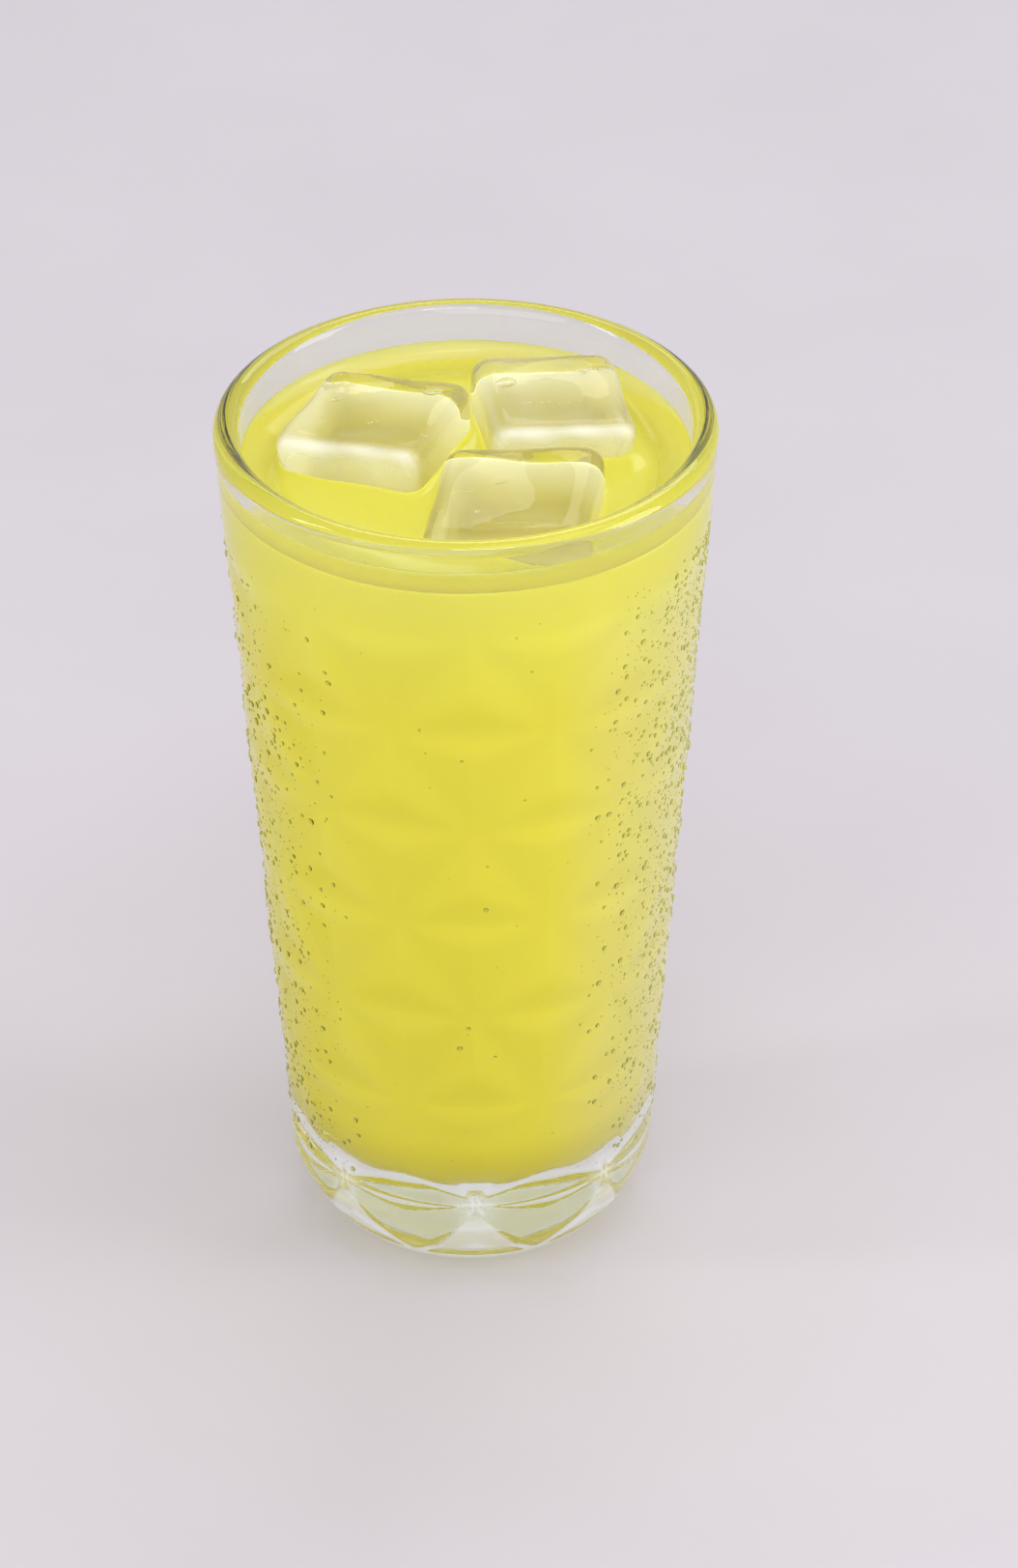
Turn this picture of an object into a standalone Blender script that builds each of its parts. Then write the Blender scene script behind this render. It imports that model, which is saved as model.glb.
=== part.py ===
"""Tall pressed-glass tumbler of cloudy lemonade with three ice cubes.

Metres, +Z up. The origin is the middle of the base, on the surface that the glass stands on,
and -Y is the front. The tumbler is tapered, with a round lip, a thick bottom and a round heel.
A lattice is pressed into its wall: staggered rows of points joined by ridges, with a shallow
three-sided pit in each triangle between them. The drink climbs the wall in a meniscus, and
three cubes of ice stand a little out of it.
"""
import math

import bmesh
import bpy
from mathutils import Vector

# Outside of the tumbler
HEIGHT = 0.148
MOUTH_RADIUS = 0.040
LIP_RADIUS = 0.002
HEEL_HEIGHT = 0.0137
HEEL_RADIUS = 0.0297
BASE_RADIUS = 0.0196
HEEL_POWER = 1.5

# Inside of the tumbler
FLOOR_HEIGHT = 0.016
FOOT_RADIUS = 0.0261
CORNER_RADIUS = 0.014

# Pressed lattice: rows of points, counted from the top, and one more row on the heel
COLUMNS = 8
ROWS = 7
TOP_ROW_HEIGHT = 0.1295
ROW_PITCH = 0.0187
HEEL_ROW_HEIGHT = 0.0035
PIT_DEPTH = 0.00045
PIT_OVER_BASE = 0.34
PIT_UNDER_TOP = 0.23
FACET_STEPS = 4
TURN_STEPS = COLUMNS * FACET_STEPS

# Drink: flat level, capillary length and the slope of its surface where it meets the wall
LEVEL = 0.1382
CAPILLARY_LENGTH = 0.0027
CONTACT_SLOPE = 86.0
MENISCUS_SLOPES = (86.0, 60.0, 40.0, 25.0, 12.0, 4.0)
GAP = 0.0003

# Ice: size is width, depth and height, place is the middle of the top face, turns are degrees
ICE_EDGE_RADIUS = 0.0032
ICE_BOTTOM_SCALE = 0.88
BEVEL_SEGMENTS = 4
ICE_CUBES = {
    "ice_cube_left": {
        "size": (0.0255, 0.0257, 0.0250),
        "place": (-0.0148, 0.0074, 0.1458),
        "turns": (0.0, -5.0, -23.0),
    },
    "ice_cube_right": {
        "size": (0.0239, 0.0244, 0.0240),
        "place": (0.0144, 0.0124, 0.1458),
        "turns": (2.4, 4.7, 9.0),
    },
    "ice_cube_front": {
        "size": (0.0263, 0.0260, 0.0250),
        "place": (0.0069, -0.0158, 0.1442),
        "turns": (6.0, -6.0, -11.0),
    },
}

# Profile resolution
LIP_STEPS = 8
CORNER_STEPS = 6
HEEL_STEPS = 3
WELD_DISTANCE = 0.000001
SHARP_ANGLE = math.radians(30.0)

LIP_HEIGHT = HEIGHT - LIP_RADIUS
INNER_MOUTH_RADIUS = MOUTH_RADIUS - 2 * LIP_RADIUS


def outer_radius(z):
    """Radius of the plain outer wall: a cone, and below it a heel of superellipse section."""
    if z >= HEEL_HEIGHT:
        share = (z - HEEL_HEIGHT) / (LIP_HEIGHT - HEEL_HEIGHT)
        return HEEL_RADIUS + (MOUTH_RADIUS - HEEL_RADIUS) * share
    drop = (HEEL_HEIGHT - z) / HEEL_HEIGHT
    reach = max(0.0, 1 - drop ** HEEL_POWER) ** (1 / HEEL_POWER)
    return BASE_RADIUS + (HEEL_RADIUS - BASE_RADIUS) * reach


def inner_radius(z):
    """Radius of the smooth inner cone, from the foot of the wall to the lip."""
    foot = FLOOR_HEIGHT + CORNER_RADIUS
    share = (z - foot) / (LIP_HEIGHT - foot)
    return FOOT_RADIUS + (INNER_MOUTH_RADIUS - FOOT_RADIUS) * share


def cavity_profile(inset):
    """Points (radius, height) from the axis along the floor and up to the foot of the wall."""
    points = [(0.0, FLOOR_HEIGHT + inset)]
    for step in range(CORNER_STEPS + 1):
        angle = math.radians(90.0) * step / CORNER_STEPS
        radius = FOOT_RADIUS - CORNER_RADIUS + (CORNER_RADIUS - inset) * math.sin(angle)
        height = FLOOR_HEIGHT + CORNER_RADIUS - (CORNER_RADIUS - inset) * math.cos(angle)
        points.append((radius, height))
    return points


def lip_profile():
    """Half circle over the lip, from the inner wall to the outer wall."""
    points = []
    for step in range(LIP_STEPS + 1):
        angle = math.pi * step / LIP_STEPS
        radius = MOUTH_RADIUS - LIP_RADIUS - LIP_RADIUS * math.cos(angle)
        points.append((radius, LIP_HEIGHT + LIP_RADIUS * math.sin(angle)))
    return points


def heel_profile():
    """Points from the last row of the lattice round the heel to the middle of the base."""
    points = []
    for step in range(HEEL_STEPS + 1):
        z = HEEL_ROW_HEIGHT * (1 - step / HEEL_STEPS) ** 2
        points.append((outer_radius(z), z))
    return points + [(0.0, 0.0)]


def meniscus_profile():
    """Free surface of the drink from the wall to the axis.

    A liquid that wets a wall climbs it: where the surface slopes by s, its rise over the level
    is 2 a sin(s / 2) and its run is a (ln cot(s / 4) - 2 cos(s / 2)), with a the capillary length.
    """
    def run(slope):
        return CAPILLARY_LENGTH * (-math.log(math.tan(slope / 4)) - 2 * math.cos(slope / 2))

    start = run(math.radians(CONTACT_SLOPE))
    contact = LEVEL + 2 * CAPILLARY_LENGTH * math.sin(math.radians(CONTACT_SLOPE) / 2)
    points = []
    for degrees in MENISCUS_SLOPES:
        slope = math.radians(degrees)
        radius = inner_radius(contact) - GAP - (run(slope) - start)
        points.append((radius, LEVEL + 2 * CAPILLARY_LENGTH * math.sin(slope / 2)))
    return points + [(0.0, LEVEL)]


def spin_profile(bm, profile):
    """Turns a profile of (radius, height) points once round the Z axis."""
    verts = [bm.verts.new((0.0, -radius, height)) for radius, height in profile]
    edges = [bm.edges.new(pair) for pair in zip(verts, verts[1:])]
    bmesh.ops.spin(bm, geom=verts + edges, cent=(0, 0, 0), axis=(0, 0, 1),
                   angle=math.tau, steps=TURN_STEPS, use_merge=True)


def close_up(bm):
    """Welds what meets and turns every face outwards."""
    bmesh.ops.remove_doubles(bm, verts=bm.verts, dist=WELD_DISTANCE)
    bmesh.ops.recalc_face_normals(bm, faces=bm.faces)


def add_object(name, bm, material):
    mesh = bpy.data.meshes.new(name)
    bm.to_mesh(mesh)
    bm.free()
    mesh.shade_smooth()
    mesh.set_sharp_from_angle(angle=SHARP_ANGLE)
    mesh.materials.append(material)
    thing = bpy.data.objects.new(name, mesh)
    bpy.context.scene.collection.objects.link(thing)
    return thing


def make_material(name, colour, roughness, transmission=0.0, ior=1.5):
    material = bpy.data.materials.new(name)
    material.use_nodes = True
    shader = material.node_tree.nodes["Principled BSDF"]
    shader.inputs["Base Color"].default_value = (*colour, 1.0)
    shader.inputs["Roughness"].default_value = roughness
    shader.inputs["Metallic"].default_value = 0.0
    shader.inputs["Transmission Weight"].default_value = transmission
    shader.inputs["IOR"].default_value = ior
    return material


def add_facet(bm, corners):
    """One facet of the lattice, split into small triangles that follow the round wall.

    Each corner is (turn, height, depth under the wall), and all three run evenly across it.
    """
    corners = [Vector(corner) for corner in corners]
    grid = {}
    for i in range(FACET_STEPS + 1):
        for j in range(FACET_STEPS + 1 - i):
            k = FACET_STEPS - i - j
            turn, height, depth = (corners[0] * k + corners[1] * i + corners[2] * j) / FACET_STEPS
            radius = outer_radius(height) - depth
            place = (radius * math.sin(turn), -radius * math.cos(turn), height)
            grid[i, j] = bm.verts.new(place)
    for i in range(FACET_STEPS):
        for j in range(FACET_STEPS - i):
            bm.faces.new((grid[i, j], grid[i + 1, j], grid[i, j + 1]))
            if i + j < FACET_STEPS - 1:
                bm.faces.new((grid[i + 1, j], grid[i + 1, j + 1], grid[i, j + 1]))


def add_pit(bm, base_left, base_right, apex, depth_share):
    """Three facets that meet in a pit on the upright line through the triangle's apex."""
    pit_height = base_left[1] + (apex[1] - base_left[1]) * depth_share
    pit = (apex[0], pit_height, PIT_DEPTH)
    corners = [(*point, 0.0) for point in (base_left, base_right, apex)]
    for start, end in ((0, 1), (1, 2), (2, 0)):
        add_facet(bm, (corners[start], corners[end], pit))


def add_lattice(bm):
    """Bands of triangles between the rows of points, which shift by half a column each row."""
    heights = [TOP_ROW_HEIGHT - ROW_PITCH * row for row in range(ROWS)] + [HEEL_ROW_HEIGHT]
    column = math.tau / COLUMNS
    for row, (upper, lower) in enumerate(zip(heights, heights[1:])):
        shift = 0.5 * (row % 2)
        for number in range(COLUMNS):
            point = (column * (number + shift), upper)
            next_point = (column * (number + shift + 1), upper)
            left_foot = (column * (number + shift - 0.5), lower)
            right_foot = (column * (number + shift + 0.5), lower)
            add_pit(bm, left_foot, right_foot, point, PIT_OVER_BASE)
            add_pit(bm, point, next_point, right_foot, PIT_UNDER_TOP)


def make_tumbler():
    bm = bmesh.new()
    top_row = (outer_radius(TOP_ROW_HEIGHT), TOP_ROW_HEIGHT)
    spin_profile(bm, cavity_profile(0.0) + lip_profile() + [top_row])
    add_lattice(bm)
    spin_profile(bm, heel_profile())
    close_up(bm)
    glass = make_material("pressed_soda_glass", (0.90, 0.93, 0.88), 0.02, transmission=1.0, ior=1.52)
    return add_object("tumbler", bm, glass)


def ice_block(name, size, place, turns, grow, material):
    """A cube of ice with rounded edges, narrower at the bottom, grown by a margin all round."""
    bm = bmesh.new()
    bmesh.ops.create_cube(bm, size=1.0)
    width, depth, height = (length + 2 * grow for length in size)
    for vert in bm.verts:
        narrow = ICE_BOTTOM_SCALE if vert.co.z < 0 else 1.0
        vert.co = (vert.co.x * width * narrow, vert.co.y * depth * narrow, vert.co.z * height)
        vert.co.z -= size[2] / 2
    block = add_object(name, bm, material)
    block.location = place
    block.rotation_euler = [math.radians(turn) for turn in turns]
    bevel = block.modifiers.new("melted_edges", "BEVEL")
    bevel.width = ICE_EDGE_RADIUS + grow
    bevel.segments = BEVEL_SEGMENTS
    bevel.limit_method = "NONE"
    return block


def make_lemonade(cutters):
    """The drink: the cavity less a gap, up to the curved surface, cut round the ice."""
    bm = bmesh.new()
    spin_profile(bm, cavity_profile(GAP) + meniscus_profile())
    close_up(bm)
    drink = make_material("cloudy_lemonade", (0.78, 0.72, 0.08), 0.08)
    lemonade = add_object("lemonade", bm, drink)
    for cutter in cutters:
        cut = lemonade.modifiers.new("room_for_" + cutter.name, "BOOLEAN")
        cut.operation = "DIFFERENCE"
        cut.solver = "EXACT"
        cut.object = cutter
    return lemonade


def make_ice_and_cutters():
    ice = make_material("clear_ice", (0.93, 0.95, 0.92), 0.04, transmission=1.0, ior=1.31)
    cutters = []
    for name, block in ICE_CUBES.items():
        ice_block(name, block["size"], block["place"], block["turns"], 0.0, ice)
        cutter = ice_block(name + "_cutter", block["size"], block["place"], block["turns"], GAP, ice)
        cutter.hide_render = True
        cutter.display_type = "WIRE"
        cutters.append(cutter)
    return cutters


def main():
    for thing in list(bpy.data.objects):
        bpy.data.objects.remove(thing, do_unlink=True)
    make_tumbler()
    make_lemonade(make_ice_and_cutters())


main()
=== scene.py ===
"""Looks of a tall pressed-glass tumbler of cloudy lemonade with three cubes of clear ice.

Metres, in the frame of the solids: the middle of the base is the origin, +Z is up and -Y is
the front. A turn is an angle round the axis, from the front towards +X.
"""
import math

import bpy
import numpy as np
from mathutils import Euler, Matrix, Vector


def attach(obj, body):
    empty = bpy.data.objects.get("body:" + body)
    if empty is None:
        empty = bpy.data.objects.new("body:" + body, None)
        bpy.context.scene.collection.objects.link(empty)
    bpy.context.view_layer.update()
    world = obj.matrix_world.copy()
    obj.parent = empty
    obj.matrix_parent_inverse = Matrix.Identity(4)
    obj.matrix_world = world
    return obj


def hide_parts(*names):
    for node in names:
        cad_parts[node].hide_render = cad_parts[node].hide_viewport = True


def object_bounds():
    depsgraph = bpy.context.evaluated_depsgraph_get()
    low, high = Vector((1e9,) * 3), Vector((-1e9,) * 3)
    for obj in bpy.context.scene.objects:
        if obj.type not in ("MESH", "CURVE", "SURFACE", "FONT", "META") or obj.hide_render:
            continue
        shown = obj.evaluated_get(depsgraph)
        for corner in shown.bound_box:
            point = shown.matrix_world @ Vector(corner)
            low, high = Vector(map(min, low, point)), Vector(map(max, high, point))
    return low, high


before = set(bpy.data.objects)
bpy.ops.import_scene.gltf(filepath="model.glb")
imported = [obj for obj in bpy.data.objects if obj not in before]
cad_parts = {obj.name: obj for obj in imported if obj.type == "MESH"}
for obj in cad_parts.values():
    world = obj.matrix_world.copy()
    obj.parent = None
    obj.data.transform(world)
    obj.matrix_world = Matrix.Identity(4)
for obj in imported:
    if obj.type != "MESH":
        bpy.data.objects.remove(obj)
cad_low, cad_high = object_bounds()

MM = 0.001

# Tumbler, as the solids have it
HEIGHT = cad_high.z
MOUTH_RADIUS = cad_high.x
LIP_RADIUS = 2.0 * MM
HEEL_HEIGHT = 13.7 * MM
HEEL_RADIUS = 29.7 * MM
BASE_RADIUS = 19.6 * MM
HEEL_POWER = 1.5
FLOOR_HEIGHT = 16.0 * MM
FOOT_RADIUS = 26.1 * MM
CORNER_RADIUS = 14.0 * MM
LIP_HEIGHT = HEIGHT - LIP_RADIUS
INNER_MOUTH_RADIUS = MOUTH_RADIUS - 2 * LIP_RADIUS

# Pressed lattice
COLUMNS = 8
TOP_ROW_HEIGHT = 129.5 * MM
ROW_PITCH = 18.7 * MM
ROWS = 7
HEEL_ROW_HEIGHT = 3.5 * MM
ROW_HEIGHTS = np.append(TOP_ROW_HEIGHT - ROW_PITCH * np.arange(ROWS), HEEL_ROW_HEIGHT)
PIT_DEPTH = 0.45 * MM
PIT_OVER_BASE = 0.34
PIT_UNDER_TOP = 0.23
CREASE_SOFTNESS = 0.025

# Drink
LEVEL = 138.2 * MM
CAPILLARY_LENGTH = 2.7 * MM
CONTACT_SLOPE = 86.0
LAST_SLOPE = 0.5
SLOPE_STEPS = 120
REACH_INTO_WALL = 0.15 * MM
MENISCUS_REACH = 0.08 * MM
PATTERN_DEPTH = 0.75 * MM
MENISCUS_WIDTH = 9.0 * MM
MENISCUS_SINK = 0.4 * MM
MENISCUS_LIFT = 0.004 * MM
MENISCUS_DIP = 0.03 * MM

# Ice: size is width, depth and height, place is the middle of the top face, turns are degrees.
# wave_start is where its melted waves begin, and the next two say how white its edges and front, and its
# top, are painted, as painted highlights and a painted sheen
ICE_EDGE_RADIUS = 3.2 * MM
ICE_BOTTOM_SCALE = 0.88
ICE_CUBES = {
    "left": {"size": (25.5, 25.7, 25.0), "place": (-14.8, 7.4, 145.8), "turns": (0.0, -5.0, -23.0),
             "wave_start": 4.0, "painted_highlight": 1.0, "painted_sheen": 0.0},
    "right": {"size": (23.9, 24.4, 24.0), "place": (14.4, 12.4, 145.8), "turns": (2.4, 4.7, 9.0),
              "wave_start": 5.0, "painted_highlight": 0.9, "painted_sheen": 0.12},
    "front": {"size": (26.3, 26.0, 25.0), "place": (6.9, -15.8, 144.2), "turns": (6.0, -6.0, -11.0),
              "wave_start": 5.0, "painted_highlight": 0.12, "painted_sheen": 0.0},
}

# Photograph: the frame's height in pixels, and the camera that it was taken with, in degrees about
# the mouth's centre
FRAME_HEIGHT = 1623
SENSOR_SIZE = 36.0
CAMERA_DISTANCE = 1.4
CAMERA_ELEVATION = 30.18
CAMERA_AZIMUTH = -1.0
CAMERA_ROLL = -0.325
CAMERA_AIM = (6.5 * MM, 0.0, 79.5 * MM)
FOCAL_LENGTH_PIXELS = 9171.0


def linear(code):
    """An sRGB hex colour as linear red, green, blue and alpha."""
    values = [int(code[k:k + 2], 16) / 255 for k in (1, 3, 5)]
    return tuple(v / 12.92 if v <= 0.04045 else ((v + 0.055) / 1.055) ** 2.4 for v in values) + (1.0,)


def add_node(tree, kind, settings=None, **inputs):
    """Adds a node. Settings are its attributes; inputs name its sockets, with _ for a space."""
    made = tree.nodes.new(kind)
    for name, value in (settings or {}).items():
        setattr(made, name, value)
    for name, value in inputs.items():
        key = int(name[1:]) if name[1:].isdigit() else name.replace("_", " ")
        if isinstance(value, bpy.types.NodeSocket):
            tree.links.new(value, made.inputs[key])
        else:
            made.inputs[key].default_value = value
    return made


def colour_stops(ramp_node, *stops):
    """Sets a colour ramp's stops, each a position and a colour."""
    elements = ramp_node.color_ramp.elements
    while len(elements) < len(stops):
        elements.new(0.5)
    for element, (position, code) in zip(elements, stops):
        element.position = position
        element.color = linear(code)


def new_material(name):
    """A material with no nodes yet, and its tree."""
    material = bpy.data.materials.new(name)
    material.use_nodes = True
    material.node_tree.nodes.clear()
    return material, material.node_tree


def finish_material(tree, **sockets):
    """Links Surface, and Volume where there is one, to the material's output."""
    add_node(tree, "ShaderNodeOutputMaterial", **sockets)


CLEAR = (1, 1, 1, 1)


def let_light_through(tree, surface, tint):
    """Clear matter lets lamps and soft light pass straight, so that what it holds is lit."""
    path = add_node(tree, "ShaderNodeLightPath")
    soft = add_node(tree, "ShaderNodeMath", {"operation": "MAXIMUM"},
                    _0=path.outputs["Is Shadow Ray"], _1=path.outputs["Is Diffuse Ray"])
    straight = add_node(tree, "ShaderNodeBsdfTransparent", Color=tint)
    return add_node(tree, "ShaderNodeMixShader", _0=soft.outputs[0], _1=surface,
                    _2=straight.outputs[0]).outputs[0]


# Shapes

def outer_radius(z):
    """Plain outer wall: a cone, and below it a superellipse that rounds the heel to the base."""
    cone = HEEL_RADIUS + (MOUTH_RADIUS - HEEL_RADIUS) * (z - HEEL_HEIGHT) / (LIP_HEIGHT - HEEL_HEIGHT)
    drop = np.clip((HEEL_HEIGHT - z) / HEEL_HEIGHT, 0, 1)
    heel = BASE_RADIUS + (HEEL_RADIUS - BASE_RADIUS) * (1 - drop ** HEEL_POWER) ** (1 / HEEL_POWER)
    return np.where(z >= HEEL_HEIGHT, cone, heel)


def inner_radius(z):
    """Smooth inner cone from the foot of the wall to the lip."""
    foot = FLOOR_HEIGHT + CORNER_RADIUS
    return FOOT_RADIUS + (INNER_MOUTH_RADIUS - FOOT_RADIUS) * (z - foot) / (LIP_HEIGHT - foot)


def soft_least(a, b):
    """The lesser of two arrays, with the crease between them rounded off."""
    gap = np.clip(0.5 + 0.5 * (b - a) / CREASE_SOFTNESS, 0, 1)
    return b + (a - b) * gap - CREASE_SOFTNESS * gap * (1 - gap)


def lattice_relief(turn, z):
    """Depth of the pressed lattice under the plain wall.

    Rows of points shift by half a column each, and split the wall into triangles that stand on
    their base or on their tip. In each, the depth is a three-sided tent turned inwards: the least
    of three even slopes, nought on the triangle's sides and one at its pit.
    """
    band = np.clip(np.searchsorted(-ROW_HEIGHTS, -z, side="right") - 1, 0, ROWS - 1)
    upper, lower = ROW_HEIGHTS[band], ROW_HEIGHTS[band + 1]
    down = (upper - z) / (upper - lower)
    across = turn / (math.tau / COLUMNS) - 0.5 * (band % 2)
    from_tip = np.abs(across - np.round(across))
    from_middle = np.abs(across - np.floor(across) - 0.5)
    standing = soft_least((1 - down) / PIT_OVER_BASE, (down / 2 - from_tip) * 2 / (1 - PIT_OVER_BASE))
    hanging = soft_least(down / PIT_UNDER_TOP, ((1 - down) / 2 - from_middle) * 2 / (1 - PIT_UNDER_TOP))
    tent = np.where(from_tip <= down / 2, standing, hanging)
    inside = (z <= ROW_HEIGHTS[0]) & (z >= ROW_HEIGHTS[-1])
    return np.where(inside, PIT_DEPTH * np.clip(tent, 0, 1), 0.0)


def wall_radius(turn, z):
    """The outer wall with its lattice."""
    return outer_radius(z) - lattice_relief(turn, z)


def meniscus(slope):
    """Run from the wall and rise over the level of a wetting liquid where it slopes by slope.

    Rise is 2 a sin(s / 2) and run is a (ln cot(s / 4) - 2 cos(s / 2)), a the capillary length.
    """
    def run(s):
        return CAPILLARY_LENGTH * (-np.log(np.tan(s / 4)) - 2 * np.cos(s / 2))
    return run(slope) - run(math.radians(CONTACT_SLOPE)), 2 * CAPILLARY_LENGTH * np.sin(slope / 2)


MENISCUS_RUN, MENISCUS_RISE = meniscus(np.radians(np.linspace(CONTACT_SLOPE, LAST_SLOPE, SLOPE_STEPS)))
CONTACT_HEIGHT = LEVEL + MENISCUS_RISE[0]


def around(count):
    """Even turns round the axis."""
    return np.arange(count) * math.tau / count


def placed(radius, turn, z):
    """Points from radius, turn and height."""
    radius, turn, z = np.broadcast_arrays(radius, turn, z)
    return np.stack([radius * np.sin(turn), -radius * np.cos(turn), z], -1)


def make_piece(name, points, faces, *materials):
    """A smooth-shaded mesh from points and a list of face arrays, turned so that faces look out."""
    corners = [points[face] for face in faces]
    volume = sum(np.einsum("ij,ij->i", c[:, 0], np.cross(c[:, k], c[:, k + 1])).sum()
                 for c in corners for k in range(1, c.shape[1] - 1))
    if volume < 0:
        faces = [face[:, ::-1] for face in faces]
    mesh = bpy.data.meshes.new(name)
    loops = np.concatenate([face.ravel() for face in faces]).astype(np.int32)
    sizes = np.concatenate([np.full(len(face), face.shape[1]) for face in faces])
    mesh.vertices.add(len(points))
    mesh.vertices.foreach_set("co", points.astype(np.float32).ravel())
    mesh.loops.add(len(loops))
    mesh.loops.foreach_set("vertex_index", loops)
    mesh.polygons.add(len(sizes))
    mesh.polygons.foreach_set("loop_start", np.append(0, np.cumsum(sizes)[:-1]).astype(np.int32))
    mesh.update(calc_edges=True)
    mesh.validate()
    mesh.shade_smooth()
    for material in materials:
        mesh.materials.append(material)
    piece = bpy.data.objects.new(name, mesh)
    bpy.context.scene.collection.objects.link(piece)
    return piece


def turned_skin(rings, first, last):
    """Points and faces of a closed skin: rings of points along a profile, with a pole at each end."""
    rows, columns = rings.shape[:2]
    number = 1 + np.arange(rows * columns).reshape(rows, columns)
    beside = np.roll(number, -1, axis=1)
    end = rows * columns + 1
    quads = np.stack([number[:-1], number[1:], beside[1:], beside[:-1]], -1).reshape(-1, 4)
    start_fan = np.stack([np.zeros_like(number[0]), number[0], beside[0]], -1)
    end_fan = np.stack([np.full_like(number[-1], end), beside[-1], number[-1]], -1)
    points = np.concatenate([[first], rings.reshape(-1, 3), [last]])
    return points, [quads, start_fan, end_fan]


def ball_rings(lifts, sides):
    """Rings of points on a ball of radius one, each at an angle of lift over its middle."""
    lift, angle = lifts[:, None], around(sides)
    across, along = np.cos(lift) * np.cos(angle), np.cos(lift) * np.sin(angle)
    return np.stack([across, along, np.broadcast_to(np.sin(lift), across.shape)], -1)


def repeated(faces, points_each, count):
    """The faces of many copies of a small shape, whose points follow on from each other."""
    shift = np.arange(count)[:, None, None] * points_each
    return [(face[None] + shift).reshape(-1, face.shape[1]) for face in faces]


CORNER_STEPS = 12
FLOOR_RINGS = 4


def corner_profile(inset):
    """Radius and height along the floor of the cavity and round its corner, less an inset.

    The floor's rings are evenly spaced. The corner is a quarter circle up to the wall.
    """
    angle = np.linspace(0, math.pi / 2, CORNER_STEPS)
    radius = FOOT_RADIUS - CORNER_RADIUS + (CORNER_RADIUS - inset) * np.sin(angle)
    z = FLOOR_HEIGHT + CORNER_RADIUS - (CORNER_RADIUS - inset) * np.cos(angle)
    floor_radius = np.linspace(0, radius[0], FLOOR_RINGS + 2)[1:-1]
    return np.append(floor_radius, radius), np.append(np.full(FLOOR_RINGS, z[0]), z)


# Pressed glass: soda-lime glass pressed in a mould and fire-polished. It is clear and smooth, with a
# faint waviness where the plunger and the mould chilled it. Its underside is ground to stand flat,
# so it looks frosted white through the thick clear base. At the lattice's lowest points, where six
# creases meet, white stars over white facets are painted highlights, for the light the creases
# gather. On its right side, where the dew is, a faint white veil is a painted reflection of light.
WAVE_SIZE, WAVE_DEPTH = 14 * MM, 0.12 * MM
GROUND_WHITENESS = 0.6
GROUND_FROM, GROUND_TO = 0.02 * MM, 0.15 * MM


def pressed_glass():
    material, tree = new_material("pressed_soda_lime_glass")
    place = add_node(tree, "ShaderNodeTexCoord").outputs["Object"]
    waves = add_node(tree, "ShaderNodeTexNoise", {"noise_dimensions": "3D"}, Vector=place,
                     Scale=1 / WAVE_SIZE, Detail=1.0, Roughness=0.4)
    bump = add_node(tree, "ShaderNodeBump", Height=waves.outputs[0], Strength=0.25, Distance=WAVE_DEPTH)
    shader = add_node(tree, "ShaderNodeBsdfPrincipled", Base_Color=linear("#FAFCF7"), Roughness=0.0,
                      IOR=1.52, Transmission_Weight=1.0, Normal=bump.outputs[0])
    clear = let_light_through(tree, shader.outputs[0], linear("#F6F8F2"))
    ground = add_node(tree, "ShaderNodeBsdfPrincipled", Base_Color=linear("#F2F6FC"), Roughness=0.6)
    height = add_node(tree, "ShaderNodeSeparateXYZ", Vector=place).outputs["Z"]
    share = add_node(tree, "ShaderNodeMapRange", Value=height, From_Min=GROUND_FROM,
                     From_Max=GROUND_TO, To_Min=GROUND_WHITENESS, To_Max=0.0)
    # White from the mesh: painted star highlights, white facets and a painted veil of light
    stars = add_node(tree, "ShaderNodeAttribute", {"attribute_name": "painted_light"})
    white = add_node(tree, "ShaderNodeMath", {"operation": "MAXIMUM"}, _0=share.outputs[0],
                     _1=stars.outputs["Fac"])
    both = add_node(tree, "ShaderNodeMixShader", _0=white.outputs[0], _1=clear, _2=ground.outputs[0])
    finish_material(tree, Surface=both.outputs[0])
    return material


# Painted light on the outer glass: each painted star highlight and its six rays, the white facet under
# it with its edge, its fade below the star and its foot, and the corners of the painted veil of light, in
# degrees of turn and in height
STAR_REACH = 3.4 * MM
STAR_WHITENESS = 0.6
RAYS_SHARE = 0.6
FACET_WHITENESS = 0.55
FACET_SPREAD = 0.66
FACET_EDGE = 0.6 * MM
FACET_FADE = 5 * MM
FACET_FOOT = (5 * MM, 6.5 * MM)
STARS_BELOW = 30 * MM
PAINTED_VEIL_WHITENESS = 0.15
PAINTED_VEIL_TURNS = (20, 62, 120, 150)
PAINTED_VEIL_HEIGHTS = (3 * MM, 11 * MM, 126 * MM, 136 * MM)


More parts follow.
